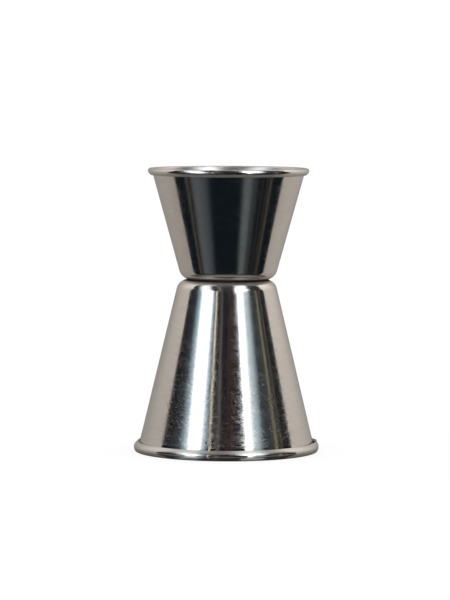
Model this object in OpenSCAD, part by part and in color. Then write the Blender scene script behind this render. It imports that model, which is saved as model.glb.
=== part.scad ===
// Double-ended bar jigger.
// Two pressed sheet-steel cups stand floor to floor on one axis: the small
// measure opens upwards and the large one downwards. Each mouth ends in a
// hollow rolled rim, and spot welds hold the two floors together.
// The origin is the centre of the large mouth, in the plane that its rim
// stands on, with +Z up through both cups.

/* [Overall] */
// Height from the large rim to the small rim
total_h = 75; // [65:1:100]
// Height of the large cup, from its rim to the outside of its floor
large_h = 45.6; // [38:0.2:55]

/* [Mouths and floors] */
// Outside diameter of the large rim
large_rim_d = 49; // [40:0.2:60]
// Outside diameter of the small rim
small_rim_d = 42.6; // [35:0.2:52]
// Diameter of the large cup where its wall would meet its floor
large_floor_d = 25.4; // [20:0.2:31]
// Diameter of the small cup where its wall would meet its floor
small_floor_d = 24.6; // [20:0.2:30]
// Outside radius of the large cup's floor corner
large_corner_r = 3.1; // [1:0.1:3.8]
// Outside radius of the small cup's floor corner
small_corner_r = 3.2; // [1:0.1:3.8]

/* [Sheet] */
// Thickness of the sheet that both cups are pressed from
sheet_t = 0.5; // [0.4:0.05:0.6]

/* [Rolled rims] */
// Radius that the large cup's mouth turns outwards with
large_mouth_r = 0.65; // [0.6:0.05:0.8]
// Radius of the large rim beyond its crest
large_crest_r = 0.6; // [0.6:0.05:0.8]
// Radius of the large rim's side
large_side_r = 2; // [1:0.1:2.4]
// Radius that the large rim turns under with
large_under_r = 1.3; // [0.8:0.1:1.4]
// Radius that the small cup's mouth turns outwards with
small_mouth_r = 0.7; // [0.6:0.05:0.9]
// Radius of the small rim beyond its crest
small_crest_r = 0.6; // [0.6:0.05:0.8]
// Radius of the small rim's side
small_side_r = 0.9; // [0.7:0.1:2]
// Radius that the small rim turns under with
small_under_r = 0.9; // [0.7:0.1:1.4]
// Angle from the crest's arc to the side's arc, above the level, in degrees
side_turn = 25; // [15:1:35]
// Angle below the level at which a rim's free end faces, in degrees
free_end_angle = 48; // [40:1:60]
// Gap between the free end of a rim and the wall that it turns back to
lip_gap = 0.1; // [0.05:0.05:0.2]
// Width of the flat that polishing leaves on the crest of each rim
crest_flat_w = 0.2; // [0.1:0.05:0.3]

/* [Spot welds] */
// Number of spot welds between the two floors
weld_count = 3; // [2:1:6]
// Diameter of the circle that the welds stand on
weld_circle_d = 11; // [8:0.5:11]
// Diameter of one weld nugget
weld_d = 3; // [2:0.1:3]
// Depth that a nugget reaches into each floor
weld_depth = 0.25; // [0.1:0.05:0.3]

/* [Hidden] */
$fn = 128;
// Largest step along an arc of a cup's section, in degrees
arc_step = 8;
small_h = total_h - large_h;

// A cup's section is drawn in its own frame, in millimetres: the outside of the
// floor lies at z = 0, the mouth opens upwards and the axis is at r = 0.

function unit(angle) = [cos(angle), sin(angle)];

// Points of an arc from one angle to another, with both ends among them
function arc(centre, r, from_angle, to_angle) =
    let (steps = ceil(abs(to_angle - from_angle) / arc_step))
    [for (i = [0 : steps]) centre + r * unit(from_angle + (to_angle - from_angle) * i / steps)];

// Centre of the mouth's turn: it lies inwards of the crest's centre by the flat
function mouth_centre(height, crest, mouth_r) = [crest[0] - crest_flat_w, height - mouth_r];

// Centre of the arc beyond the crest, placed so that the side reaches the rim diameter
function crest_centre(height, rim_d, crest_r, side_r) =
    [rim_d / 2 - side_r + (side_r - crest_r) * cos(side_turn), height - crest_r];

// Lean of the wall away from the axis: the outside of the wall starts at the
// floor diameter and touches the inside of the mouth's turn
function lean(mouth, floor_d, mouth_r) =
    let (run = mouth - [floor_d / 2, 0])
    acos((mouth_r - sheet_t) / norm(run)) - atan2(run[1], run[0]);

// Centre of the floor corner's arc, which touches the floor and the wall
function corner_centre(floor_d, corner_r, tilt) =
    [floor_d / 2 + corner_r * (tan(tilt) - 1 / cos(tilt)), corner_r];

// Length of the straight free end, which stops the lip gap short of the wall
function free_length(bend, floor_d, tilt) =
    ((bend - [floor_d / 2, 0]) * unit(-tilt) - lip_gap) / sin(free_end_angle - tilt);

// Half of a cup's section, cut through the axis
module cup_section(height, rim_d, floor_d, corner_r, mouth_r, crest_r, side_r, under_r) {
    crest = crest_centre(height, rim_d, crest_r, side_r);
    mouth = mouth_centre(height, crest, mouth_r);
    side = crest - (side_r - crest_r) * unit(side_turn);
    under = side + [side_r - under_r, 0];
    tilt = lean(mouth, floor_d, mouth_r);
    corner = corner_centre(floor_d, corner_r, tilt);
    bend = under + (under_r - sheet_t) * unit(-free_end_angle);
    free_end = free_length(bend, floor_d, tilt) * unit(-90 - free_end_angle);

    polygon(concat(
        // Outside of the floor and its corner, then up the wall into the roll
        [[0, 0]],
        arc(corner, corner_r, -90, -tilt),
        // Inside of the roll, over the crest and down to the free end
        arc(mouth, mouth_r - sheet_t, 180 - tilt, 90),
        arc(crest, crest_r - sheet_t, 90, side_turn),
        arc(side, side_r - sheet_t, side_turn, 0),
        arc(under, under_r - sheet_t, 0, -free_end_angle),
        [bend + free_end],
        // Outside of the roll, back up to the flat on the crest and over it
        [bend + free_end + sheet_t * unit(-free_end_angle)],
        arc(under, under_r, -free_end_angle, 0),
        arc(side, side_r, 0, side_turn),
        arc(crest, crest_r, side_turn, 90),
        arc(mouth, mouth_r, 90, 180 - tilt),
        // Inside of the wall, the corner and the floor
        arc(corner, corner_r - sheet_t, -tilt, -90),
        [[0, sheet_t]]
    ));
}

// The nuggets stand in a circle, half in each floor
module nuggets() {
    for (i = [0 : weld_count - 1])
        rotate(i * 360 / weld_count)
            translate([weld_circle_d / 2, 0, large_h])
                cylinder(d = weld_d, h = weld_depth * 2, center = true);
}

module large_cup() {
    color("silver")
        difference() {
            translate([0, 0, large_h])
                rotate([180, 0, 0])
                    rotate_extrude()
                        cup_section(large_h, large_rim_d, large_floor_d, large_corner_r,
                                    large_mouth_r, large_crest_r, large_side_r, large_under_r);
            nuggets();
        }
}

module small_cup() {
    color("gainsboro")
        difference() {
            translate([0, 0, large_h])
                rotate_extrude()
                    cup_section(small_h, small_rim_d, small_floor_d, small_corner_r,
                                small_mouth_r, small_crest_r, small_side_r, small_under_r);
            nuggets();
        }
}

module spot_welds() {
    color("dimgray") nuggets();
}

large_cup();
small_cup();
spot_welds();
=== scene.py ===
# %% [markdown]
# # A double-ended bar jigger in polished steel
# A jigger is two pressed cups welded floor to floor. Each cup is one round of sheet steel, so
# each is made here in the way that it is really shaped: a section, turned once round the axis.
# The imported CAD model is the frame, and nothing in it is moved. Its boxes give the heights and
# the rim diameters. The sheet, the corners and the rolls can't be read off a box, so their sizes
# are written out again below, and they have to agree with the CAD model.

import math

import bpy
from mathutils import Matrix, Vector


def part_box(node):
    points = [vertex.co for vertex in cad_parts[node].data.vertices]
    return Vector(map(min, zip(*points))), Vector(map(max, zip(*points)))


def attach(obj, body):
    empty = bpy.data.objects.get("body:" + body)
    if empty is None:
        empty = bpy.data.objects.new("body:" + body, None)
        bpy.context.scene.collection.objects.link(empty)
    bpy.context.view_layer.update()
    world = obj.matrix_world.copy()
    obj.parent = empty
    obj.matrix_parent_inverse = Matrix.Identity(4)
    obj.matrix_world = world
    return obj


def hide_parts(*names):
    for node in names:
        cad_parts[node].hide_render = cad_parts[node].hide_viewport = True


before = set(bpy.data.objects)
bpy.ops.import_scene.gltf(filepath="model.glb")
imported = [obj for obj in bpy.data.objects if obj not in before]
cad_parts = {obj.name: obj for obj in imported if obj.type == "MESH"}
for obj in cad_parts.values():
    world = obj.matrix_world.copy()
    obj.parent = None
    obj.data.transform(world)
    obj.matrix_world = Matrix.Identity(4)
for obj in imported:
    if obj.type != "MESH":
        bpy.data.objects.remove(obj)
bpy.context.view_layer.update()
MM = 0.001

large_low, large_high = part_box("large_cup")
small_low, small_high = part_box("small_cup")
weld_low, weld_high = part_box("spot_welds")
waist_z = large_high.z
top_z = small_high.z
print("large cup", [round(v / MM, 2) for v in (large_high.x * 2, waist_z - large_low.z)], "mm")
print("small cup", [round(v / MM, 2) for v in (small_high.x * 2, top_z - small_low.z)], "mm")
print("weld nuggets", round((weld_high.z - weld_low.z) / MM, 2), "mm through the floors")

# %% [markdown]
# ## Helpers for node trees
# Shader trees and geometry trees are both built of nodes and links. They could be drawn by hand
# in the node editor, but a script can be read and run again. A few small helpers keep it
# readable: one adds a node, one joins or fills a socket, and the rest do sums.

# %% Node helpers
def add_node(tree, kind, **settings):
    made = tree.nodes.new(kind)
    for name, value in settings.items():
        setattr(made, name, value)
    return made


def feed(tree, value, socket):
    if isinstance(value, bpy.types.NodeSocket):
        tree.links.new(value, socket)
    else:
        socket.default_value = value


def calc(tree, operation, *values):
    made = add_node(tree, "ShaderNodeMath", operation=operation)
    for value, socket in zip(values, made.inputs):
        feed(tree, value, socket)
    return made.outputs[0]


def times(tree, first, *others):
    for other in others:
        first = calc(tree, "MULTIPLY", first, other)
    return first


def ramp(tree, value, start, end, low=0.0, high=1.0, interpolation="SMOOTHSTEP"):
    made = add_node(tree, "ShaderNodeMapRange", interpolation_type=interpolation, clamp=True)
    for name, given in (("Value", value), ("From Min", start), ("From Max", end),
                        ("To Min", low), ("To Max", high)):
        feed(tree, given, made.inputs[name])
    return made.outputs["Result"]


def vector(tree, x, y, z):
    made = add_node(tree, "ShaderNodeCombineXYZ")
    for value, socket in zip((x, y, z), made.inputs):
        feed(tree, value, socket)
    return made.outputs[0]


# %% Group and material helpers
def new_group(name, kind, inputs, outputs):
    tree = bpy.data.node_groups.new(name, kind)
    for label, socket_type, default in inputs:
        made = tree.interface.new_socket(label, in_out="INPUT", socket_type=socket_type)
        if default is not None:
            made.default_value = default
    for label, socket_type in outputs:
        tree.interface.new_socket(label, in_out="OUTPUT", socket_type=socket_type)
    return tree, tree.nodes.new("NodeGroupInput").outputs, tree.nodes.new("NodeGroupOutput").inputs


def new_material(name):
    made = bpy.data.materials.new(name)
    made.use_nodes = True
    return made, made.node_tree, made.node_tree.nodes["Principled BSDF"]


def new_object(name, mesh):
    made = bpy.data.objects.new(name, mesh)
    bpy.context.scene.collection.objects.link(made)
    return made


FLOAT = "NodeSocketFloat"
INT = "NodeSocketInt"
VECTOR = "NodeSocketVector"
GEOMETRY = "NodeSocketGeometry"
print("socket kinds", FLOAT, INT, VECTOR, GEOMETRY)

# %% [markdown]
# ## The section of a cup
# The sheet keeps one thickness all the way: from the middle of the floor round the corner, up
# the leaning wall, and over into the hollow roll at the mouth. The outline below walks round it
# once and carries three marks for each point. `inside` is 1 on the drinking side, `lip` grows
# towards the free edge of the roll, and `crest` is 1 where the rim stands on the bar.

# %% Section sizes
sheet_t = 0.5 * MM
lip_gap = 0.1 * MM
crest_flat_w = 0.2 * MM
side_turn = 25.0
free_end_angle = 48.0
large_sizes = dict(height=waist_z - large_low.z, rim_d=large_high.x * 2, floor_d=25.4 * MM,
                   corner_r=3.1 * MM, mouth_r=0.65 * MM, crest_r=0.6 * MM, side_r=2.0 * MM,
                   under_r=1.3 * MM)
small_sizes = dict(height=top_z - waist_z, rim_d=small_high.x * 2, floor_d=24.6 * MM,
                   corner_r=3.2 * MM, mouth_r=0.7 * MM, crest_r=0.6 * MM, side_r=0.9 * MM,
                   under_r=0.9 * MM)
print("sheet", round(sheet_t / MM, 2), "mm, free end", free_end_angle, "degrees below the level")


# %% Section outline
def unit(angle):
    return math.cos(math.radians(angle)), math.sin(math.radians(angle))


def reach(start, distance, angle):
    return tuple(a + distance * b for a, b in zip(start, unit(angle)))


def arc(centre, radius, start, end, step):
    count = max(2, math.ceil(abs(end - start) / step))
    return [reach(centre, radius, start + (end - start) * i / count) for i in range(count + 1)]


def line(start, end, count):
    shares = [i / count for i in range(1, count)]
    return [tuple(a + (b - a) * t for a, b in zip(start, end)) for t in shares]


def cup_section(height, rim_d, floor_d, corner_r, mouth_r, crest_r, side_r, under_r):
    # The roll is a chain of arcs that touch, and each centre follows from the one before it
    side_x = rim_d / 2 - side_r
    crest_x = reach((side_x, 0.0), side_r - crest_r, side_turn)[0]
    crest = (crest_x, height - crest_r)
    side = reach(crest, crest_r - side_r, side_turn)
    under = (side[0] + side_r - under_r, side[1])
    mouth = (crest_x - crest_flat_w, height - mouth_r)

    # The wall's outside starts at the floor diameter and touches the inside of the mouth's turn
    run = (mouth[0] - floor_d / 2, mouth[1])
    tilt = math.acos((mouth_r - sheet_t) / math.hypot(*run)) - math.atan2(run[1], run[0])
    lean = math.degrees(tilt)
    corner = (floor_d / 2 + corner_r * (math.tan(tilt) - 1 / math.cos(tilt)), corner_r)

    # The free end runs straight until its inner corner stands the lip gap off the wall
    bend = reach(under, under_r - sheet_t, -free_end_angle)
    off_wall = (bend[0] - floor_d / 2) * unit(-lean)[0] + bend[1] * unit(-lean)[1]
    free_run = (off_wall - lip_gap) / unit(free_end_angle - lean)[1]
    along_end = -90.0 - free_end_angle
    middle = reach(reach(under, under_r - sheet_t / 2, -free_end_angle), free_run, along_end)

    outside_corner = arc(corner, corner_r, -90, -lean, 4)
    hollow = arc(mouth, mouth_r - sheet_t, 180 - lean, 90, 30)
    hollow += arc(crest, crest_r - sheet_t, 90, side_turn, 30)
    hollow_side = arc(side, side_r - sheet_t, side_turn, 0, 8)
    hollow_side += arc(under, under_r - sheet_t, 0, -free_end_angle, 8)[1:]
    free_edge = arc(middle, sheet_t / 2, 180 - free_end_angle, -free_end_angle, 22.5)
    roll_under = arc(under, under_r, -free_end_angle, 0, 4)
    roll_side = arc(side, side_r, 0, side_turn, 2.5)[1:]
    roll_crest = arc(crest, crest_r, side_turn, 90, 5)[1:]
    mouth_turn = arc(mouth, mouth_r, 90, 180 - lean, 5)
    inside_corner = arc(corner, corner_r - sheet_t, -lean, -90, 5)

    marked = []

    def walk(points, inside=0.0, lip=(0.0, 0.0), crest_mark=0.0):
        last = max(1, len(points) - 1)
        for i, (r, z) in enumerate(points):
            marked.append((r, z, inside, lip[0] + (lip[1] - lip[0]) * i / last, crest_mark))

    walk([(0.0, 0.0)])
    walk(line((0.0, 0.0), outside_corner[0], 6))
    walk(outside_corner)
    walk(line(outside_corner[-1], hollow[0], 48))
    walk(hollow)
    walk(hollow_side, lip=(0.0, 0.6))
    walk(line(hollow_side[-1], free_edge[0], 3), lip=(0.7, 0.9))
    walk(free_edge, lip=(1.0, 1.0))
    walk(line(free_edge[-1], roll_under[0], 5), lip=(0.9, 0.65))
    walk(roll_under, lip=(0.6, 0.25))
    walk(roll_side, lip=(0.2, 0.0))
    walk(roll_crest)
    walk(line(roll_crest[-1], mouth_turn[0], 3), crest_mark=1.0)
    walk(mouth_turn, inside=1.0)
    walk(line(mouth_turn[-1], inside_corner[0], 48), inside=1.0)
    walk(inside_corner, inside=1.0)
    walk(line(inside_corner[-1], (0.0, sheet_t), 34), inside=1.0)
    walk([(0.0, sheet_t)], inside=1.0)
    return marked, lean


small_section, small_lean = cup_section(**small_sizes)
large_section, large_lean = cup_section(**large_sizes)
print("small cup leans", round(small_lean, 2), "degrees,", len(small_section), "points")
print("large cup leans", round(large_lean, 2), "degrees,", len(large_section), "points")

# %% [markdown]
# The small cup stands on the waist and the large one hangs below it. Turning a section over
# would turn its surface inside out, so the large section is walked the other way round.

# %% Section meshes
small_section = [(r, waist_z + z, *marks) for r, z, *marks in small_section]
large_section = [(r, waist_z - z, *marks) for r, z, *marks in reversed(large_section)]


def section_mesh(name, section):
    mesh = bpy.data.meshes.new(name)
    edges = [(i, i + 1) for i in range(len(section) - 1)]
    mesh.from_pydata([(r, 0.0, z) for r, z, *marks in section], edges, [])
    for column, label in enumerate(("inside", "lip", "crest"), start=2):
        layer = mesh.attributes.new(label, "FLOAT", "POINT")
        layer.data.foreach_set("value", [point[column] for point in section])
    print(name, len(mesh.vertices), "points")
    return mesh


small_start = section_mesh("small_section", small_section)
large_start = section_mesh("large_section", large_section)

# %% [markdown]
# ## Turning the section with Geometry Nodes
# A Screw modifier or the Spin tool would turn the section too, but a node tree can also say what
# hand polishing and pressing leave behind: a wall that waves by about a hundredth of a
# millimetre, three dimples where the welding electrodes pressed, and a stretch of the roll whose
# free edge stands off the wall. The tree lays out a grid with one row for each step round the
# axis, and moves each grid point to its place on the turned section.

# %% Wave of the wall
def wall_wave(tree, given, radius, height, cosine, sine):
    # Both faces of the sheet wave together, because the noise hardly changes across it
    noise = add_node(tree, "ShaderNodeTexNoise", noise_dimensions="4D")
    feed(tree, vector(tree, times(tree, radius, cosine), times(tree, radius, sine),
                      times(tree, height, 0.6)), noise.inputs["Vector"])
    feed(tree, given["Seed"], noise.inputs["W"])
    feed(tree, given["Wave scale"], noise.inputs["Scale"])
    noise.inputs["Detail"].default_value = 1.0
    wave = times(tree, calc(tree, "SUBTRACT", noise.outputs[0], 0.5), given["Wave height"])
    return times(tree, wave, ramp(tree, radius, 9 * MM, 13 * MM))


# %% Free edge that stands off
def free_edge_opening(tree, given, turn, lip):
    swing = calc(tree, "PINGPONG", calc(tree, "SUBTRACT", turn, given["Gap angle"]), math.pi)
    opening = ramp(tree, calc(tree, "ABSOLUTE", swing), given["Gap half width"], 0.0)
    return times(tree, opening, calc(tree, "POWER", lip, 2.0))


# %% Distance to the nearest weld
def nearest_weld(tree, given, turn, radius):
    # The circle is folded into one weld's share of it, so one distance serves every weld
    share = calc(tree, "DIVIDE", math.tau, given["Weld count"])
    folded = calc(tree, "WRAP", turn, times(tree, share, 0.5), times(tree, share, -0.5))
    across = calc(tree, "SUBTRACT", times(tree, radius, calc(tree, "COSINE", folded)),
                  given["Weld circle"])
    along = times(tree, radius, calc(tree, "SINE", folded))
    return calc(tree, "SQRT", calc(tree, "ADD", calc(tree, "POWER", across, 2.0),
                                   times(tree, along, along)))


# %% Pockets for the weld nuggets
def cut_pockets(tree, given, surface):
    circle = add_node(tree, "GeometryNodeMeshCircle", fill_type="NONE")
    feed(tree, given["Weld count"], circle.inputs["Vertices"])
    feed(tree, given["Weld circle"], circle.inputs["Radius"])
    nugget = add_node(tree, "GeometryNodeMeshCylinder", fill_type="NGON")
    nugget.inputs["Vertices"].default_value = 48
    feed(tree, given["Nugget radius"], nugget.inputs["Radius"])
    feed(tree, times(tree, given["Nugget depth"], 2.0), nugget.inputs["Depth"])
    lifted = add_node(tree, "GeometryNodeSetPosition")
    feed(tree, circle.outputs["Mesh"], lifted.inputs["Geometry"])
    feed(tree, vector(tree, 0.0, 0.0, given["Waist"]), lifted.inputs["Offset"])
    spread = add_node(tree, "GeometryNodeInstanceOnPoints")
    feed(tree, lifted.outputs[0], spread.inputs["Points"])
    feed(tree, nugget.outputs["Mesh"], spread.inputs["Instance"])
    nuggets = add_node(tree, "GeometryNodeRealizeInstances")
    feed(tree, spread.outputs[0], nuggets.inputs["Geometry"])
    pocketed = add_node(tree, "GeometryNodeMeshBoolean", operation="DIFFERENCE", solver="EXACT")
    feed(tree, surface, pocketed.inputs["Mesh 1"])
    feed(tree, nuggets.outputs[0], pocketed.inputs["Mesh 2"])
    return pocketed.outputs["Mesh"]


# %% Ends of the tree
def store_marks(tree, surface, marks):
    for label, value in marks.items():
        stored = add_node(tree, "GeometryNodeStoreNamedAttribute", data_type="FLOAT",
                          domain="POINT")
        feed(tree, surface, stored.inputs["Geometry"])
        stored.inputs["Name"].default_value = label
        feed(tree, value, stored.inputs["Value"])
        surface = stored.outputs[0]
    return surface


def finish_surface(tree, given, surface):
    smooth = add_node(tree, "GeometryNodeSetShadeSmooth", domain="FACE")
    feed(tree, surface, smooth.inputs["Geometry"])
    realized = add_node(tree, "GeometryNodeRealizeInstances")
    feed(tree, smooth.outputs[0], realized.inputs["Geometry"])
    finished = add_node(tree, "GeometryNodeSetMaterial")
    feed(tree, realized.outputs[0], finished.inputs["Geometry"])
    feed(tree, given["Finish"], finished.inputs["Material"])
    return finished.outputs[0]


# %% Turning tree
def turning_tree():
    tree, given, result = new_group(
        "turned_cup", "GeometryNodeTree",
        [("Section", GEOMETRY, None), ("Steps", INT, 256), ("Wave height", FLOAT, 0.0),
         ("Wave scale", FLOAT, 100.0), ("Seed", FLOAT, 0.0), ("Gap angle", FLOAT, 0.0),
         ("Gap half width", FLOAT, 0.3), ("Gap out", FLOAT, 0.0), ("Gap up", FLOAT, 0.0),
         ("Weld count", INT, 3), ("Weld circle", FLOAT, 0.01), ("Dimple radius", FLOAT, 0.002),
         ("Dimple depth", FLOAT, 0.0), ("Nugget radius", FLOAT, 0.001),
         ("Nugget depth", FLOAT, 0.0), ("Waist", FLOAT, 0.0), ("Off axis", FLOAT, 0.0),
         ("Finish", "NodeSocketMaterial", None)],
        [("Cup", GEOMETRY)])

    count = add_node(tree, "GeometryNodeAttributeDomainSize", component="MESH")
    feed(tree, given["Section"], count.inputs["Geometry"])
    grid = add_node(tree, "GeometryNodeMeshGrid")
    feed(tree, calc(tree, "ADD", given["Steps"], 1.0), grid.inputs["Vertices X"])
    feed(tree, count.outputs["Point Count"], grid.inputs["Vertices Y"])

    # Each row of the grid is one step of the turn, and each place in a row is a section point
    index = add_node(tree, "GeometryNodeInputIndex").outputs[0]
    place = calc(tree, "MODULO", index, count.outputs["Point Count"])
    step = calc(tree, "FLOOR", calc(tree, "DIVIDE", index, count.outputs["Point Count"]))
    turn = times(tree, calc(tree, "DIVIDE", step, given["Steps"]), math.tau)

    def from_section(field, data_type):
        made = add_node(tree, "GeometryNodeSampleIndex", data_type=data_type, domain="POINT")
        feed(tree, given["Section"], made.inputs["Geometry"])
        feed(tree, field, made.inputs["Value"])
        feed(tree, place, made.inputs["Index"])
        return made.outputs[0]

    def mark(label):
        named = add_node(tree, "GeometryNodeInputNamedAttribute", data_type="FLOAT")
        named.inputs["Name"].default_value = label
        return from_section(named.outputs["Attribute"], "FLOAT")

    position = add_node(tree, "GeometryNodeInputPosition").outputs[0]
    split = add_node(tree, "ShaderNodeSeparateXYZ")
    feed(tree, from_section(position, "FLOAT_VECTOR"), split.inputs[0])
    radius, height = split.outputs["X"], split.outputs["Z"]
    inside, lip, crest = mark("inside"), mark("lip"), mark("crest")
    cosine, sine = calc(tree, "COSINE", turn), calc(tree, "SINE", turn)

    wave = wall_wave(tree, given, radius, height, cosine, sine)
    opening = free_edge_opening(tree, given, turn, lip)
    weld = nearest_weld(tree, given, turn, radius)
    moved_radius = calc(tree, "ADD", calc(tree, "ADD", radius, wave),
                        times(tree, opening, given["Gap out"]))

    # Towards the mouth is up in the small cup and down in the large one
    away = calc(tree, "SIGN", calc(tree, "SUBTRACT", given["Waist"], height))
    moved_height = calc(tree, "ADD", height, times(tree, opening, given["Gap up"], away))
    dimple = ramp(tree, weld, given["Dimple radius"], times(tree, given["Dimple radius"], 0.72))
    sink = times(tree, dimple, inside, given["Dimple depth"])
    moved_height = calc(tree, "ADD", moved_height, times(tree, sink, away))

    # A cup may be welded a little off the other's axis
    moved_x = calc(tree, "ADD", times(tree, moved_radius, cosine), given["Off axis"])
    placed = add_node(tree, "GeometryNodeSetPosition")
    feed(tree, grid.outputs["Mesh"], placed.inputs["Geometry"])
    feed(tree, vector(tree, moved_x, times(tree, moved_radius, sine), moved_height),
         placed.inputs["Position"])
    surface = store_marks(tree, placed.outputs[0],
                          {"inside": inside, "lip": lip, "crest": crest, "weld": weld})

    # The first and last rows meet, and each end of the section closes to one point on the axis
    merged = add_node(tree, "GeometryNodeMergeByDistance")
    feed(tree, surface, merged.inputs["Geometry"])
    merged.inputs["Distance"].default_value = 0.002 * MM
    surface = cut_pockets(tree, given, merged.outputs[0])
    feed(tree, finish_surface(tree, given, surface), result["Cup"])
    return tree


cup_tree = turning_tree()
print("turning tree", len(cup_tree.nodes), "nodes")

# %% Turn both cups
def make_piece(name, start_mesh, tree, settings):
    piece = new_object(name, start_mesh)
    modifier = piece.modifiers.new("build", "NODES")
    modifier.node_group = tree
    for item in tree.interface.items_tree:
        if item.item_type == "SOCKET" and item.in_out == "INPUT" and item.name in settings:
            modifier[item.identifier] = settings[item.name]
    seen = bpy.context.evaluated_depsgraph_get()
    made = bpy.data.meshes.new_from_object(piece.evaluated_get(seen),
                                           preserve_all_data_layers=True, depsgraph=seen)
    piece.modifiers.clear()
    # The section mesh brings an empty material slot along
    while made.materials[0] is None:
        made.materials.pop(index=0)
    piece.data = made
    made.name = name
    return piece


weld_count = 3
weld_circle_r = 5.5 * MM
nugget_r = 1.5 * MM
print("welds reach", round((weld_circle_r + nugget_r) / MM, 2), "mm, and the frame's",
      round(weld_high.x / MM, 2))
steel, steel_tree, shader = new_material("polished_steel")
shared = {"Steps": 256, "Weld count": weld_count, "Weld circle": weld_circle_r,
          "Nugget radius": nugget_r, "Nugget depth": weld_high.z - waist_z, "Waist": waist_z,
          "Dimple radius": 2.0 * MM, "Dimple depth": 0.07 * MM, "Wave height": 0.03 * MM,
          "Wave scale": 110.0, "Finish": steel}
small_cup = make_piece("small_cup_pressing", small_start,
                       cup_tree, {**shared, "Seed": 3.0, "Off axis": 0.36 * MM})
large_cup = make_piece("large_cup_pressing", large_start,
                       cup_tree, {**shared, "Seed": 8.0, "Gap out": 0.55 * MM,
                                  "Gap up": 0.15 * MM, "Gap half width": math.radians(24.0)})
for cup in (small_cup, large_cup):
    print(cup.name, len(cup.data.vertices), "points", len(cup.data.loop_triangles))

# %% [markdown]
# ## Polish and wear, as shader groups
# The steel is bright because a wheel polished it, and used because it has been on a bar. Hairlines
# run round the axis where the wheel ran, fine scratches cross them, and specks are small knocks.
# Image textures could carry these marks, but each is a short rule, so each is a node group that
# any finish can use with values of its own. The groups only put out masks from 0 to 1.

# %% Hairlines round the axis
hairlines_group, given, result = new_group(
    "hairlines", "ShaderNodeTree",
    [("Position", VECTOR, None), ("Streaks round", FLOAT, 6.0), ("Lines per metre", FLOAT, 5000.0),
     ("Seed", FLOAT, 0.0)],
    [("Lines", FLOAT)])


def split_round(tree, position):
    parts = add_node(tree, "ShaderNodeSeparateXYZ")
    feed(tree, position, parts.inputs[0])
    x, y, z = parts.outputs
    radius = calc(tree, "SQRT", calc(tree, "ADD", times(tree, x, x), times(tree, y, y)))
    # The axis itself has no direction round it, so the radius never gets to zero
    return x, y, z, calc(tree, "MAXIMUM", radius, 0.1 * MM)


def noise_at(tree, position, detail=0.0, seed=0.0):
    made = add_node(tree, "ShaderNodeTexNoise", noise_dimensions="4D")
    feed(tree, position, made.inputs["Vector"])
    feed(tree, seed, made.inputs["W"])
    made.inputs["Scale"].default_value = 1.0
    made.inputs["Detail"].default_value = detail
    return made.outputs[0]


x, y, z, radius = split_round(hairlines_group, given["Position"])
# Height alone would leave the flat floors without lines, so the radius counts too
floor_share = -0.6
path = calc(hairlines_group, "MULTIPLY_ADD", radius, floor_share, z)
streak_at = vector(
    hairlines_group,
    times(hairlines_group, calc(hairlines_group, "DIVIDE", x, radius), given["Streaks round"]),
    times(hairlines_group, calc(hairlines_group, "DIVIDE", y, radius), given["Streaks round"]),
    times(hairlines_group, path, given["Lines per metre"]))
streaks = noise_at(hairlines_group, streak_at, 2.0, given["Seed"])
feed(hairlines_group, ramp(hairlines_group, streaks, 0.30, 0.78), result["Lines"])
print(hairlines_group.name, len(hairlines_group.nodes), "nodes")

# %% Scratches across them
scratches_group, given, result = new_group(
    "scratches", "ShaderNodeTree",
    [("Position", VECTOR, None), ("Tilt", FLOAT, 0.6), ("Along per metre", FLOAT, 150.0),
     ("Across per metre", FLOAT, 7000.0), ("Rareness", FLOAT, 0.66), ("Seed", FLOAT, 0.0)],
    [("Scratches", FLOAT)])
mean_radius = 17.0 * MM
x, y, z, radius = split_round(scratches_group, given["Position"])
path = calc(scratches_group, "MULTIPLY_ADD", radius, floor_share, z)
arc_length = times(scratches_group,
                   calc(scratches_group, "ARCTAN2", x, times(scratches_group, y, -1.0)),
                   mean_radius)
cosine = calc(scratches_group, "COSINE", given["Tilt"])
sine = calc(scratches_group, "SINE", given["Tilt"])
along = calc(scratches_group, "ADD", times(scratches_group, arc_length, cosine),
             times(scratches_group, path, sine))
across = calc(scratches_group, "SUBTRACT", times(scratches_group, path, cosine),
              times(scratches_group, arc_length, sine))
scratch_at = vector(scratches_group, times(scratches_group, along, given["Along per metre"]),
                    times(scratches_group, across, given["Across per metre"]), 0.0)
marks = noise_at(scratches_group, scratch_at, 0.0, given["Seed"])
feed(scratches_group, ramp(scratches_group, marks, given["Rareness"],
                           calc(scratches_group, "ADD", given["Rareness"], 0.08)),
     result["Scratches"])
print(scratches_group.name, len(scratches_group.nodes), "nodes")

# %% Specks
specks_group, given, result = new_group(
    "specks", "ShaderNodeTree",
    [("Position", VECTOR, None), ("Cells per metre", FLOAT, 350.0), ("Size", FLOAT, 0.05),
     ("Share", FLOAT, 0.4)],
    [("Specks", FLOAT)])
cells = add_node(specks_group, "ShaderNodeTexVoronoi", voronoi_dimensions="3D", feature="F1")
feed(specks_group, given["Position"], cells.inputs["Vector"])
feed(specks_group, given["Cells per metre"], cells.inputs["Scale"])
dot = ramp(specks_group, cells.outputs["Distance"], given["Size"],
           times(specks_group, given["Size"], 0.5))
lot = add_node(specks_group, "ShaderNodeSeparateColor")
feed(specks_group, cells.outputs["Color"], lot.inputs[0])
chosen = calc(specks_group, "LESS_THAN", lot.outputs[0], given["Share"])
feed(specks_group, times(specks_group, dot, chosen), result["Specks"])
print(specks_group.name, len(specks_group.nodes), "nodes")

# %% [markdown]
# ## Polished steel
# The outside is close to a mirror. The wheel can't reach into the groove at the waist, so the
# steel turns satin there, and a dark brown line of painted shade is laid along the crease. The inside
# is satin too, with stronger rings. The crests that stand on the bar are dulled, and each weld leaves a
# faint straw and blue ring on the drinking side of the floor.

# %% Shader helpers
position = add_node(steel_tree, "ShaderNodeTexCoord").outputs["Object"]


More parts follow.
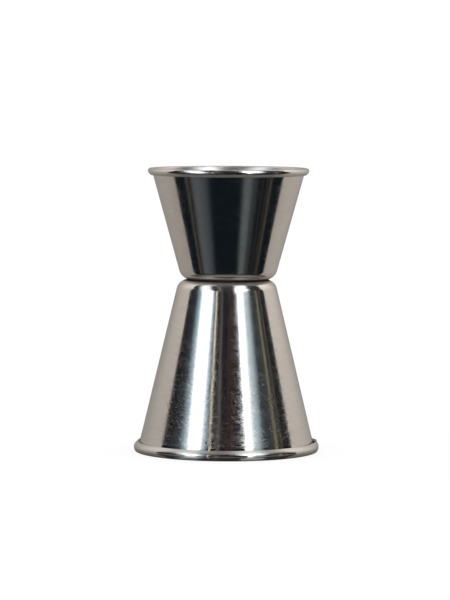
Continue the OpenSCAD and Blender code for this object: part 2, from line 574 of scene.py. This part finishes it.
def use_group(tree, group, output, **values):
    made = add_node(tree, "ShaderNodeGroup", node_tree=group)
    for label, value in values.items():
        feed(tree, value, made.inputs[label.replace("_", " ")])
    return made.outputs[output]


def attribute(tree, label):
    return add_node(tree, "ShaderNodeAttribute", attribute_name=label).outputs["Fac"]


def blend(tree, low, high, share):
    made = add_node(tree, "ShaderNodeMix", data_type="FLOAT")
    feed(tree, share, made.inputs["Factor"])
    feed(tree, low, made.inputs[2])
    feed(tree, high, made.inputs[3])
    return made.outputs[0]


def tint(tree, under, colour, share):
    made = add_node(tree, "ShaderNodeMix", data_type="RGBA")
    feed(tree, share, made.inputs["Factor"])
    feed(tree, under if isinstance(under, bpy.types.NodeSocket) else (*under, 1.0), made.inputs[6])
    feed(tree, (*colour, 1.0), made.inputs[7])
    return made.outputs[2]


# %% Masks of the waist
inside = attribute(steel_tree, "inside")
outside = calc(steel_tree, "SUBTRACT", 1.0, inside)
x, y, z, radius = split_round(steel_tree, position)
above_waist = calc(steel_tree, "SUBTRACT", z, waist_z)
from_waist = calc(steel_tree, "ABSOLUTE", above_waist)
satin_below = 1.25 * MM
satin_above = 1.1 * MM
side_step = (-0.1 * MM, 0.1 * MM)
satin_reach = ramp(steel_tree, above_waist, *side_step, satin_below, satin_above)
groove = times(steel_tree, outside,
               ramp(steel_tree, from_waist, satin_reach, times(steel_tree, satin_reach, 0.4)))

# Only the small cup is stained, above the dark line of painted shade in the groove
upper_side = ramp(steel_tree, above_waist, 0.0, 0.05 * MM)
stain = times(steel_tree, ramp(steel_tree, above_waist, 1.05 * MM, 0.75 * MM), upper_side, outside)
# A dark brown line of painted shade in the crease at the waist, reaching a little higher on the small
# cup
groove_painted_shade_reach = calc(steel_tree, "MAXIMUM", ramp(steel_tree, from_waist, 0.34 * MM, 0.12 * MM),
              times(steel_tree, ramp(steel_tree, above_waist, 0.66 * MM, 0.40 * MM), upper_side))
groove_painted_shade = times(steel_tree, groove_painted_shade_reach, outside)
print("satin groove", round((satin_below + satin_above) / MM, 2), "mm high")


# %% Masks of the wear
def lines(streaks_round, lines_per_metre, seed):
    return use_group(steel_tree, hairlines_group, "Lines", Position=position, Seed=seed,
                     Streaks_round=streaks_round, Lines_per_metre=lines_per_metre)


hairlines = lines(6.0, 2300.0, 1.0)
flecks = lines(38.0, 3900.0, 4.0)
bands = lines(2.5, 420.0, 9.0)
leans = lines(22.0, 3600.0, 12.0)
falling = use_group(steel_tree, scratches_group, "Scratches", Position=position, Tilt=-0.95,
                    Along_per_metre=160.0, Across_per_metre=5200.0, Rareness=0.66, Seed=2.0)
rising = use_group(steel_tree, scratches_group, "Scratches", Position=position, Tilt=0.5,
                   Along_per_metre=210.0, Across_per_metre=6400.0, Rareness=0.69, Seed=7.0)
specks = use_group(steel_tree, specks_group, "Specks", Position=position, Cells_per_metre=330.0,
                   Size=0.055, Share=0.35)

# Wear is a little patchy, and there is more of it towards the rim that the jigger stands on
patches = add_node(steel_tree, "ShaderNodeTexNoise", noise_dimensions="3D")
feed(steel_tree, position, patches.inputs["Vector"])
patches.inputs["Scale"].default_value = 130.0
patches.inputs["Detail"].default_value = 2.0
patchy = patches.outputs[0]
near_rim = ramp(steel_tree, z, 36.0 * MM, 3.0 * MM, 0.5, 0.9)
wear = times(steel_tree, ramp(steel_tree, patchy, 0.25, 0.60, 0.80, 1.0), near_rim)
scratched = times(steel_tree, calc(steel_tree, "MAXIMUM", falling, rising),
                  blend(steel_tree, 0.3, 1.0, wear))
on_wall = ramp(steel_tree, z, 2.9 * MM, 3.4 * MM)
print("steel", len(steel_tree.nodes), "nodes so far")

# %% Steel roughness
mirror, scratch, dull_crest, groove_shade_roughness = 0.04, 0.34, 0.30, 0.60
crest = attribute(steel_tree, "crest")
lip = attribute(steel_tree, "lip")
brushed = calc(steel_tree, "MULTIPLY_ADD", hairlines, 0.08, times(steel_tree, bands, 0.04))
brushed = calc(steel_tree, "MULTIPLY_ADD", times(steel_tree, flecks, wear), 0.20, brushed)
roughness = calc(steel_tree, "MULTIPLY_ADD", brushed, on_wall, mirror)
roughness = blend(steel_tree, roughness, scratch, times(steel_tree, scratched, on_wall, 0.65))
roughness = calc(steel_tree, "ADD", roughness, ramp(steel_tree, lip, 0.27, 0.55, 0.0, 0.28))
roughness = blend(steel_tree, roughness, dull_crest, times(steel_tree, crest, 0.6))
satin = calc(steel_tree, "MULTIPLY_ADD", hairlines, 0.10, 0.31)
roughness = blend(steel_tree, roughness, satin, inside)
groove_roughness = ramp(steel_tree, above_waist, *side_step, 0.50, 0.34)
roughness = blend(steel_tree, roughness, groove_roughness, groove)
# The painted shade band in the groove is rough as well as dark
roughness = blend(steel_tree, roughness, groove_shade_roughness, groove_painted_shade)
feed(steel_tree, roughness, shader.inputs["Roughness"])
print("roughness from", mirror, "on the polish to", groove_shade_roughness, "in the groove")

# %% Steel colour
bright_steel, grey_steel, warm_steel = (0.645, 0.607, 0.573), (0.582, 0.555, 0.528), (0.62, 0.57, 0.525)
streaked = calc(steel_tree, "MULTIPLY_ADD", hairlines, 0.6, times(steel_tree, bands, 0.4))
colour = tint(steel_tree, bright_steel, grey_steel, streaked)
colour = tint(steel_tree, colour, warm_steel, ramp(steel_tree, patchy, 0.42, 0.62, 0.0, 0.6))

# Heat rings round each weld, straw outside and blue inside
weld = attribute(steel_tree, "weld")
straw = times(steel_tree, ramp(steel_tree, weld, 2.9 * MM, 2.3 * MM),
              ramp(steel_tree, weld, 1.2 * MM, 1.9 * MM), inside, 0.5)
blue = times(steel_tree, ramp(steel_tree, weld, 2.2 * MM, 1.7 * MM),
             ramp(steel_tree, weld, 0.7 * MM, 1.3 * MM), inside, 0.55)
# The last tint is painted shade: a near-black brown band along the crease of the groove
for new_colour, share in (((0.58, 0.42, 0.22), straw), ((0.20, 0.24, 0.40), blue),
                          ((0.26, 0.25, 0.25), times(steel_tree, specks, 0.6)),
                          ((0.42, 0.33, 0.23), times(steel_tree, stain, 0.75)),
                          ((0.055, 0.036, 0.025), groove_painted_shade)):
    colour = tint(steel_tree, colour, new_colour, share)
feed(steel_tree, colour, shader.inputs["Base Color"])
# The painted shade band in the groove is less metallic, so it stays dark
metal = calc(steel_tree, "SUBTRACT", 1.0, times(steel_tree, groove_painted_shade, 0.8))
feed(steel_tree, metal, shader.inputs["Metallic"])
print("steel colour", bright_steel, "to", grey_steel)

# %% [markdown]
# Relief makes the marks catch light. A bump does for the depth of lines, scratches and specks.
# Each line also leans a little to one side, so an upright reflection looks ragged at its edges.
# A bump leans a line mostly up or down, across its length, so the normal is turned sideways.

# %% Steel relief
UM = 0.001 * MM
relief = times(steel_tree, hairlines, blend(steel_tree, 0.25 * UM, 2.0 * UM, inside))
relief = calc(steel_tree, "MULTIPLY_ADD", scratched, -1.2 * UM, relief)
relief = calc(steel_tree, "MULTIPLY_ADD", specks, -9.0 * UM, relief)
bump = add_node(steel_tree, "ShaderNodeBump")
bump.inputs["Distance"].default_value = 1.0
feed(steel_tree, relief, bump.inputs["Height"])
least_lean, most_lean = 0.012, 0.032
most_at = ramp(steel_tree, z, 44.0 * MM, 6.0 * MM, least_lean, most_lean)
lean_by = times(steel_tree, calc(steel_tree, "SUBTRACT", leans, 0.5),
                times(steel_tree, on_wall, most_at))
sideways = vector(steel_tree, calc(steel_tree, "DIVIDE", times(steel_tree, y, -1.0), radius),
                  calc(steel_tree, "DIVIDE", x, radius), 0.0)
leaning = add_node(steel_tree, "ShaderNodeVectorMath", operation="MULTIPLY_ADD")
feed(steel_tree, sideways, leaning.inputs[0])
feed(steel_tree, vector(steel_tree, lean_by, lean_by, 0.0), leaning.inputs[1])
feed(steel_tree, bump.outputs[0], leaning.inputs[2])
unit_normal = add_node(steel_tree, "ShaderNodeVectorMath", operation="NORMALIZE")
feed(steel_tree, leaning.outputs[0], unit_normal.inputs[0])
feed(steel_tree, unit_normal.outputs[0], shader.inputs["Normal"])
print("lines lean by up to", round(math.degrees(most_lean / 2), 2), "degrees")

# %% Hand the cups over
for cup, node_name in ((small_cup, "small_cup"), (large_cup, "large_cup")):
    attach(cup, "root")
    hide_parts(node_name)
    print(cup.name, "replaces", node_name)

# %% [markdown]
# ## Weld metal
# The nuggets are hidden between the floors, and show only when the jigger is cut open. They are
# dull grey with a brown heat tint, and slightly lumpy. They keep their CAD shape.

# %% Weld metal
weld_metal, weld_tree, weld_shader = new_material("weld_metal")
weld_shader.inputs["Metallic"].default_value = 1.0
weld_spot = add_node(weld_tree, "ShaderNodeTexCoord").outputs["Object"]
lumps = add_node(weld_tree, "ShaderNodeTexNoise", noise_dimensions="3D")
feed(weld_tree, weld_spot, lumps.inputs["Vector"])
lumps.inputs["Scale"].default_value = 1600.0
lumps.inputs["Detail"].default_value = 3.0
feed(weld_tree, tint(weld_tree, (0.36, 0.35, 0.34), (0.30, 0.22, 0.15),
                     ramp(weld_tree, lumps.outputs[0], 0.4, 0.7)), weld_shader.inputs["Base Color"])
feed(weld_tree, ramp(weld_tree, lumps.outputs[0], 0.3, 0.7, 0.38, 0.58),
     weld_shader.inputs["Roughness"])
weld_bump = add_node(weld_tree, "ShaderNodeBump")
weld_bump.inputs["Distance"].default_value = 0.03 * MM
feed(weld_tree, lumps.outputs[0], weld_bump.inputs["Height"])
feed(weld_tree, weld_bump.outputs[0], weld_shader.inputs["Normal"])
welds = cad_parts["spot_welds"]
welds.data.materials.clear()
welds.data.materials.append(weld_metal)
print(welds.name, len(welds.data.polygons), "faces in weld metal")

# %% [markdown]
# ## The floor
# The jigger stands on plain white paper. A big square does, and it glows a little by itself, so
# that it stays white to its edge and keeps only a faint shadow where the rim stands.

# %% Floor
floor_r = 20.0
floor_mesh = bpy.data.meshes.new("floor")
floor_mesh.from_pydata([(x * floor_r, y * floor_r, 0.0) for x, y in
                        ((-1, -1), (1, -1), (1, 1), (-1, 1))], [], [(0, 1, 2, 3)])
floor = new_object("floor", floor_mesh)
floor.visible_glossy = False
paper, _, paper_shader = new_material("white_paper")
paper_shader.inputs["Base Color"].default_value = (0.22, 0.22, 0.22, 1.0)
paper_shader.inputs["Roughness"].default_value = 1.0
paper_shader.inputs["Specular IOR Level"].default_value = 0.0
paper_shader.inputs["Emission Color"].default_value = (1.0, 1.0, 1.0, 1.0)
paper_shader.inputs["Emission Strength"].default_value = 0.8
floor_mesh.materials.append(paper)
print("floor", floor_r * 2, "m across")

# %% [markdown]
# ## The studio
# Polished steel has hardly a look of its own: it shows the room. So the room is built with care.
# The camera and the paper see a plain white studio, from the world. Only the steel sees the tent
# that stands round the jigger: a pale cloth behind and at the sides, and a dark half in front,
# where the camera stands, with a tall soft light on each side of it. Area lights could do the
# same, but a painted tent shows every edge and gap that the polish picks up.

# %% White studio
world = bpy.data.worlds.new("studio")
bpy.context.scene.world = world
world.use_nodes = True
world.cycles.sampling_method = "NONE"
sky = world.node_tree
sky.nodes.clear()
rays = add_node(sky, "ShaderNodeLightPath")
studio_white = add_node(sky, "ShaderNodeMix", data_type="RGBA")
feed(sky, rays.outputs["Is Glossy Ray"], studio_white.inputs["Factor"])
studio_white.inputs[6].default_value = (1.03, 1.03, 1.03, 1.0)
studio_white.inputs[7].default_value = (0.16, 0.158, 0.155, 1.0)
background = add_node(sky, "ShaderNodeBackground")
feed(sky, studio_white.outputs[2], background.inputs["Color"])
sky_out = add_node(sky, "ShaderNodeOutputWorld")
feed(sky, background.outputs[0], sky_out.inputs["Surface"])
print(world.name, len(sky.nodes), "nodes")

# %% Tent
def ring(radius, z, steps):
    turns = [math.tau * i / steps for i in range(steps)]
    return [(radius * math.cos(turn), radius * math.sin(turn), z) for turn in turns]


def reflections_only(thing):
    thing.visible_camera = False
    thing.visible_diffuse = False
    thing.visible_shadow = False
    thing.visible_transmission = False


tent_r = 0.45
tent_foot = -1.2
tent_head = 2.5
tent_steps = 180
tent_walls = [(i, (i + 1) % tent_steps, (i + 1) % tent_steps + tent_steps, i + tent_steps)
              for i in range(tent_steps)]
tent_mesh = bpy.data.meshes.new("tent")
tent_mesh.from_pydata(ring(tent_r, tent_foot, tent_steps) + ring(tent_r, tent_head, tent_steps), [],
                      tent_walls)
reflections_only(new_object("tent", tent_mesh))
print("tent", tent_r * 2, "m across and", tent_head - tent_foot, "m high")

# %% [markdown]
# A lit shape on the tent is a four-sided panel with soft edges. Its left and right edges are
# given at two heights, so that it may taper, in degrees from the camera's side, positive to the
# right. High up, the dark half leans back over the jigger.

# %% Panel group
panel_group, given, result = new_group(
    "lit_panel", "ShaderNodeTree",
    [(label, FLOAT, 0.0) for label in
     ("Azimuth", "Height", "Left low", "Left high", "Right low", "Right high", "Left soft",
      "Right soft", "Bottom", "Top", "End soft")],
    [("Mask", FLOAT)])
low_level = 0.12
high_level = 0.23
rise = ramp(panel_group, given["Height"], low_level, high_level, interpolation="LINEAR")


def between(low, high):
    span = calc(panel_group, "SUBTRACT", high, low)
    return calc(panel_group, "MULTIPLY_ADD", span, rise, low)


def edge(value, centre, soft):
    half = times(panel_group, soft, 0.5)
    return ramp(panel_group, value, calc(panel_group, "SUBTRACT", centre, half),
                calc(panel_group, "ADD", centre, half))


left_side = edge(given["Azimuth"], between(given["Left low"], given["Left high"]),
                 given["Left soft"])
right_side = edge(given["Azimuth"], between(given["Right low"], given["Right high"]),
                  given["Right soft"])
bottom_side = edge(given["Height"], given["Bottom"], given["End soft"])
top_side = edge(given["Height"], given["Top"], given["End soft"])
across = times(panel_group, left_side, calc(panel_group, "SUBTRACT", 1.0, right_side))
upright = times(panel_group, bottom_side, calc(panel_group, "SUBTRACT", 1.0, top_side))
feed(panel_group, times(panel_group, across, upright), result["Mask"])
print(panel_group.name, len(panel_group.nodes), "nodes")

# %% Where on the cloth
cloth = bpy.data.materials.new("tent_cloth")
cloth.use_nodes = True
cloth.cycles.emission_sampling = "NONE"
cloth_tree = cloth.node_tree
cloth_tree.nodes.clear()
place = add_node(cloth_tree, "ShaderNodeSeparateXYZ")
feed(cloth_tree, add_node(cloth_tree, "ShaderNodeTexCoord").outputs["Object"], place.inputs[0])
height = place.outputs["Z"]
lean_from = 0.30
lean_slope = 0.6
past_lean = calc(cloth_tree, "MAXIMUM", calc(cloth_tree, "SUBTRACT", height, lean_from), 0.0)
lean_back = times(cloth_tree, past_lean, lean_slope)
forward = calc(cloth_tree, "SUBTRACT", lean_back, place.outputs["Y"])
azimuth = calc(cloth_tree, "DEGREES", calc(cloth_tree, "ARCTAN2", place.outputs["X"], forward))
print("the dark half leans back from", lean_from, "m up")


# %% Paints for the cloth
def grade(tree, value, stops):
    made = add_node(tree, "ShaderNodeValToRGB")
    start, end = stops[0][0], stops[-1][0]
    feed(tree, ramp(tree, value, start, end, interpolation="LINEAR"), made.inputs[0])
    elements = made.color_ramp.elements
    while len(elements) < len(stops):
        elements.new(1.0)
    for element, (at, colour) in zip(elements, stops):
        element.position = (at - start) / (end - start)
        element.color = (*colour, 1.0)
    return made.outputs["Color"]


def paint(under, colour, mask):
    mixed = add_node(cloth_tree, "ShaderNodeMix", data_type="RGBA")
    feed(cloth_tree, mask, mixed.inputs["Factor"])
    feed(cloth_tree, under, mixed.inputs[6])
    feed(cloth_tree, colour if isinstance(colour, bpy.types.NodeSocket) else (*colour, 1.0),
         mixed.inputs[7])
    return mixed.outputs[2]


FAR = 9.0


def panel(under, colour, left, right, soft=(2.0, 2.0), span=(-FAR, FAR), end_soft=0.1):
    made = add_node(cloth_tree, "ShaderNodeGroup", node_tree=panel_group)
    for label, value in (("Azimuth", azimuth), ("Height", height), ("Left low", left[0]),
                         ("Left high", left[1]), ("Right low", right[0]),
                         ("Right high", right[1]), ("Left soft", soft[0]),
                         ("Right soft", soft[1]), ("Bottom", span[0]), ("Top", span[1]),
                         ("End soft", end_soft)):
        feed(cloth_tree, value, made.inputs[label])
    return paint(under, colour, made.outputs["Mask"])


# %% Pale cloth, brighter overhead and darker straight behind the jigger
pale = grade(cloth_tree, height, [(-0.75, (0.30, 0.28, 0.26)), (-0.16, (0.44, 0.415, 0.385)),
                                  (0.04, (0.56, 0.535, 0.505)), (0.15, (0.74, 0.705, 0.665)),
                                  (0.33, (1.02, 0.98, 0.93)), (0.60, (1.15, 1.12, 1.08))])
behind = calc(cloth_tree, "ABSOLUTE", azimuth)
light = paint(pale, (0.30, 0.29, 0.28), ramp(cloth_tree, behind, 118.0, 165.0, 0.0, 0.75))

# More light comes back from the right-hand cloth than from the left
brighter = calc(cloth_tree, "MULTIPLY", ramp(cloth_tree, azimuth, 60.0, 98.0),
                ramp(cloth_tree, azimuth, 172.0, 140.0))
lifted_cloth = add_node(cloth_tree, "ShaderNodeMix", data_type="RGBA", blend_type="MULTIPLY")
feed(cloth_tree, brighter, lifted_cloth.inputs["Factor"])
feed(cloth_tree, light, lifted_cloth.inputs[6])
lifted_cloth.inputs[7].default_value = (1.2, 1.2, 1.2, 1.0)
light = lifted_cloth.outputs[2]
print("pale cloth", len(cloth_tree.nodes), "nodes")

# %% The dark half, lighter towards the floor
dark = grade(cloth_tree, height, [(-0.75, (0.34, 0.33, 0.32)), (-0.50, (0.13, 0.13, 0.13)),
                                  (-0.30, (0.009, 0.0135, 0.019)), (-0.15, (0.005, 0.010, 0.015)),
                                  (0.10, (0.014, 0.015, 0.019)), (0.25, (0.020, 0.022, 0.028)),
                                  (0.60, (0.045, 0.045, 0.050))])
light = panel(light, dark, (-94.5, -91.0), (95.5, 91.5), soft=(1.5, 1.5))
print("dark half", len(cloth_tree.nodes), "nodes with the pale cloth")

# %% Left light, level with the jigger
# It turns bluish where it fades, and the narrow panels after it are thin lines in the dark gap
over_from = 0.262
level = (0.0, over_from)
lamp_white = (3.2, 3.35, 3.5)
light = panel(light, (0.050, 0.058, 0.070), (-76, -80), (-50, -50), soft=(26, 3),
              span=(-0.02, over_from))
light = panel(light, (0.52, 0.76, 0.93), (-59, -70), (-28.5, -28.0), soft=(16, 7), span=level)
light = panel(light, lamp_white, (-50, -60), (-37.0, -32.5), soft=(10, 8), span=level)
light = panel(light, (2.3, 2.15, 1.8), (-23.3, -23.9), (-22.4, -21.9), soft=(1.2, 1.4), span=level)
light = panel(light, (0.17, 0.155, 0.158), (-15, -12), (-9.5, -8.8), soft=(2, 2), span=level)
light = panel(light, (0.052, 0.030, 0.028), (-5, 4), (7, 13), soft=(4, 4), span=level)
print("left light from", round(level[0], 2), "to", level[1], "m up")

# %% Right light, level with the jigger and sharp on its near side
light = panel(light, (0.60, 0.78, 0.90), (26.3, 23.3), (46, 52), soft=(5, 14), span=level)
light = panel(light, lamp_white, (26.3, 23.3), (33, 37), soft=(3, 10), span=level)
light = panel(light, (0.04, 0.059, 0.07), (54, 54), (62, 62), soft=(5, 2), span=level)
light = panel(light, (0.115, 0.115, 0.10), (63.2, 63.2), (64.8, 64.8), soft=(1, 1), span=level)
light = panel(light, (0.30, 0.29, 0.22), (68, 68), (73, 72), soft=(1.5, 1.5), span=level)
light = panel(light, (0.16, 0.15, 0.12), (77.5, 77.5), (80, 80), soft=(1.5, 1.5), span=level)
print("right light", len(cloth_tree.nodes), "nodes so far")

# %% The same two lights overhead, closer in on the right
over = (over_from, FAR)
light = panel(light, (0.62, 0.74, 0.84), (-71, -71), (-34, -34), soft=(10, 7), span=over,
              end_soft=0.03)
light = panel(light, (1.70, 1.78, 1.85), (-65, -65), (-38, -38), soft=(8, 8), span=over,
              end_soft=0.03)
light = panel(light, (0.32, 0.31, 0.28), (-17.5, -17.5), (-12.5, -12.5), soft=(2, 2), span=over,
              end_soft=0.03)
light = panel(light, (0.60, 0.68, 0.74), (18, 18), (55, 55), soft=(4, 8), span=(0.23, 0.42),
              end_soft=0.04)
light = panel(light, lamp_white, (19, 19), (50, 50), soft=(4, 7), span=(0.24, 0.42),
              end_soft=0.04)
light = panel(light, (0.60, 0.68, 0.74), (16, 16), (48, 48), soft=(3, 8), span=(0.42, FAR),
              end_soft=0.04)
light = panel(light, (2.3, 2.4, 2.5), (17, 17), (43, 43), soft=(3, 7), span=(0.42, FAR),
              end_soft=0.04)
print("overhead from", over[0], "m up")

# %% What the small cup picks up lower down
low = (-0.45, 0.0)
light = panel(light, (0.075, 0.09, 0.105), (-62, -62), (-35, -35), soft=(2, 16), span=low)
light = panel(light, (0.115, 0.13, 0.145), (-62, -62), (-47, -47), soft=(3, 16), span=low)
light = panel(light, (0.09, 0.08, 0.07), (-74, -74), (-69, -69), soft=(2, 2), span=low)
light = panel(light, (0.10, 0.09, 0.08), (-65, -65), (-63, -63), soft=(2, 2), span=low)
light = panel(light, (0.05, 0.056, 0.06), (22, 22), (49, 49), soft=(8, 10), span=low)
light = panel(light, (0.135, 0.165, 0.175), (25.5, 25.5), (38.5, 38.5), soft=(8, 8), span=low)
light = panel(light, (0.07, 0.06, 0.055), (57, 57), (58.5, 58.5), soft=(1, 1), span=low)
light = panel(light, (0.075, 0.065, 0.055), (65, 65), (66.5, 66.5), soft=(1, 1), span=low)
light = panel(light, (0.085, 0.075, 0.065), (70, 70), (75, 75), soft=(2, 2), span=low)

glow = add_node(cloth_tree, "ShaderNodeEmission")
feed(cloth_tree, light, glow.inputs["Color"])
cloth_out = add_node(cloth_tree, "ShaderNodeOutputMaterial")
feed(cloth_tree, glow.outputs[0], cloth_out.inputs["Surface"])
tent_mesh.materials.append(cloth)
print("cloth", len(cloth_tree.nodes), "nodes in all")

# %% [markdown]
# The table close to the jigger shows in the steel from below. It is a disc that only reflections
# see: slightly glossy, and glowing with painted light and shade, a painted shadow where the jigger
# shades it, painted light a little way out, and fading into the dark of the room.

# %% Paper under the jigger
near_r = 0.075
near_steps = 96
near_mesh = bpy.data.meshes.new("near_paper")
near_mesh.from_pydata(ring(near_r, 0.0, near_steps), [], [list(range(near_steps))])
reflections_only(new_object("near_paper", near_mesh))
paper_painted_shadow, near_tree, near_shader = new_material("paper_painted_shadow")
distance = add_node(near_tree, "ShaderNodeVectorMath", operation="LENGTH")
feed(near_tree, add_node(near_tree, "ShaderNodeTexCoord").outputs["Object"], distance.inputs[0])
distance = distance.outputs["Value"]
# The glow is painted: a dark painted shadow of the jigger close in, lit paper a little way out
near_paper_painted_light = grade(near_tree, distance,
                  [(0.028, (0.035, 0.034, 0.033)), (0.033, (0.33, 0.32, 0.31)),
                   (0.039, (0.32, 0.31, 0.295)), (0.046, (0.18, 0.175, 0.17)),
                   (0.054, (0.09, 0.09, 0.09)), (0.063, (0.035, 0.036, 0.038))])
near_shader.inputs["Base Color"].default_value = (0.0, 0.0, 0.0, 1.0)
near_shader.inputs["Roughness"].default_value = 0.06
near_shader.inputs["IOR"].default_value = 1.9
near_shader.inputs["Emission Strength"].default_value = 1.0
feed(near_tree, near_paper_painted_light, near_shader.inputs["Emission Color"])
feed(near_tree, ramp(near_tree, distance, 0.034, 0.030, 0.0, 0.5),
     near_shader.inputs["Specular IOR Level"])
feed(near_tree, ramp(near_tree, distance, near_r, 0.056), near_shader.inputs["Alpha"])
near_mesh.materials.append(paper_painted_shadow)
print("paper under the jigger", near_r * 2, "m across")

# %% [markdown]
# ## The camera
# A long lens from well back keeps the rims flat and the far side nearly as wide as the near one.
# It looks a few degrees down, so that the small rim shows its far side.

# %% Camera
pitch = math.radians(4.05)
roll = math.radians(0.2155)
camera_place = (-0.46 * MM, -0.8433, 0.0998)
camera_data = bpy.data.cameras.new("camera")
camera_data.lens = 191.7
camera_data.sensor_width = 36.0
camera = new_object("camera", camera_data)
camera.matrix_world = (Matrix.Translation(camera_place)
                       @ Matrix.Rotation(math.pi / 2 - pitch, 4, "X") @ Matrix.Rotation(roll, 4, "Z"))
bpy.context.scene.camera = camera
bpy.context.scene.view_settings.view_transform = "Standard"
print("camera", round(camera_data.lens, 1), "mm lens, looking down", round(math.degrees(pitch), 2))
